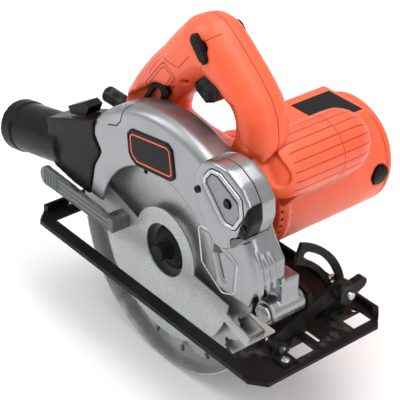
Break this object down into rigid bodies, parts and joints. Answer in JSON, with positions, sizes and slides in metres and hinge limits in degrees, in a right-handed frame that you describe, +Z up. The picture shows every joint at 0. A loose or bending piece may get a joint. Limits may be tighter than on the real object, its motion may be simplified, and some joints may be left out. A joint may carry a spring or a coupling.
{
  "type": "circular saw",
  "caption": "Hand-held circular saw with closed rear handle, swinging lower guard, dust spout, line-laser pod, side motor and a tilting steel shoe.",
  "frame": {"origin": "centre of the sole of the shoe, on the surface that the saw stands on", "axes": "+X forwards in the cutting direction, +Y from the blade towards the motor, +Z up"},
  "size_m": [0.3611, 0.219, 0.2978],
  "materials": {
    "orange_plastic": "satin",
    "black_plastic": "satin",
    "grey_plastic": "satin",
    "cast_alloy": "satin",
    "black_steel": "satin",
    "bright_steel": "satin",
    "guard_steel": "fine speckled",
    "blade_steel": "satin",
    "carbide": "ground",
    "copper": "satin",
    "dark_lens": "gloss",
    "plate_black": "semi-gloss"
  },
  "bodies": {
    "shoe": {"shoe_plate": "black_steel", "bevel_quadrant": "black_steel", "shoe_rivets": "bright_steel", "front_bevel_ear": "black_steel", "rear_bevel_ear": "black_steel", "bevel_pins": "bright_steel"},
    "bevel_bracket": {"bevel_bracket": "black_steel", "depth_pin": "bright_steel", "bevel_bolt": "bright_steel"},
    "bevel_lever": {"bevel_lever": "black_plastic"},
    "rear_bracket": {"rear_bracket": "black_steel", "depth_rail": "bright_steel"},
    "saw_body": {"upper_guard": "cast_alloy", "chute_cap": "cast_alloy", "guard_badge": "plate_black", "laser_housing": "cast_alloy", "laser_cover": "black_plastic", "laser_lens": "dark_lens", "laser_module": "bright_steel", "laser_screws": "bright_steel", "gear_case": "cast_alloy", "bearing_plate": "cast_alloy", "dust_port": "black_plastic", "port_clip": "black_plastic", "handle_right": "orange_plastic", "handle_left": "orange_plastic", "motor_housing": "orange_plastic", "motor_end_cap": "orange_plastic", "front_handle": "orange_plastic", "rating_plate": "plate_black", "brush_caps": "black_plastic", "carbon_brushes": "carbide", "stator": "bright_steel", "ball_bearings": "bright_steel", "cord_gland": "black_plastic", "switch_module": "grey_plastic", "guard_retainer": "bright_steel", "housing_screws": "bright_steel"},
    "blade": {"spindle": "bright_steel", "drive_gear": "bright_steel", "inner_flange": "bright_steel", "saw_blade": "blade_steel", "carbide_tips": "carbide", "outer_flange": "black_steel", "blade_bolt": "black_steel"},
    "armature": {"armature_shaft": "bright_steel", "rotor_core": "bright_steel", "commutator": "copper", "motor_fan": "black_plastic"},
    "lower_guard": {"lower_guard": "guard_steel", "guard_lever": "grey_plastic", "guard_spring": "bright_steel", "guard_rivets": "bright_steel"},
    "trigger": {"trigger": "black_plastic"},
    "lock_off": {"lock_off_button": "black_plastic"},
    "spindle_lock": {"spindle_lock": "black_plastic"},
    "laser_switch": {"laser_switch": "plate_black"},
    "depth_lever": {"depth_lever": "black_plastic"}
  },
  "joints": [
    {"name": "bevel_tilt", "type": "hinge", "parent": "shoe", "child": "bevel_bracket", "pos_m": [0.112, -0.028, 0.0085], "axis": [1, 0, 0], "range_deg": [0, 45]},
    {"name": "rear_bevel", "type": "hinge", "parent": "shoe", "child": "rear_bracket", "pos_m": [-0.123, -0.028, 0.0085], "axis": [1, 0, 0], "range_deg": [0, 45]},
    {"name": "bevel_lock", "type": "hinge", "parent": "bevel_bracket", "child": "bevel_lever", "pos_m": [0.117, 0.03894, 0.02897], "axis": [1, 0, 0], "range_deg": [0, 70]},
    {"name": "depth_adjust", "type": "hinge", "parent": "bevel_bracket", "child": "saw_body", "pos_m": [0.105, -0.013, 0.031], "axis": [0, 1, 0], "range_deg": [0, 35]},
    {"name": "blade_spin", "type": "hinge", "parent": "saw_body", "child": "blade", "pos_m": [-0.003, -0.028, 0.031], "axis": [0, 1, 0], "continuous": true},
    {"name": "armature_spin", "type": "hinge", "parent": "saw_body", "child": "armature", "pos_m": [0.01054, 0.072, 0.05647], "axis": [0, 1, 0], "continuous": true},
    {"name": "guard_swing", "type": "hinge", "parent": "saw_body", "child": "lower_guard", "pos_m": [-0.003, -0.028, 0.031], "axis": [0, 1, 0], "range_deg": [0, 100], "stiffness_Nm_per_rad": 0.25, "springref_deg": -34.38, "deforming": ["guard_spring"]},
    {"name": "trigger_pull", "type": "slide", "parent": "saw_body", "child": "trigger", "axis": [-0.4512, 0, 0.8924], "range_m": [0, 0.005], "stiffness_N_per_m": 900, "springref_m": -0.003},
    {"name": "lock_off_push", "type": "slide", "parent": "saw_body", "child": "lock_off", "axis": [0, 1, 0], "range_m": [-0.002, 0.002], "stiffness_N_per_m": 600},
    {"name": "spindle_lock_push", "type": "slide", "parent": "saw_body", "child": "spindle_lock", "axis": [1, 0, 0], "range_m": [0, 0.0015], "stiffness_N_per_m": 800, "springref_m": -0.002},
    {"name": "laser_switch_press", "type": "slide", "parent": "saw_body", "child": "laser_switch", "axis": [0, 1, 0], "range_m": [0, 0.001], "stiffness_N_per_m": 500, "springref_m": -0.002},
    {"name": "depth_clamp", "type": "hinge", "parent": "saw_body", "child": "depth_lever", "pos_m": [-0.083, -0.008, 0.031], "axis": [0, 1, 0], "range_deg": [-30, 0]}
  ],
  "couplings": [
    {"joint": "rear_bevel", "follows": "bevel_tilt", "ratio": 1},
    {"joint": "armature_spin", "follows": "blade_spin", "ratio": -4}
  ]
}
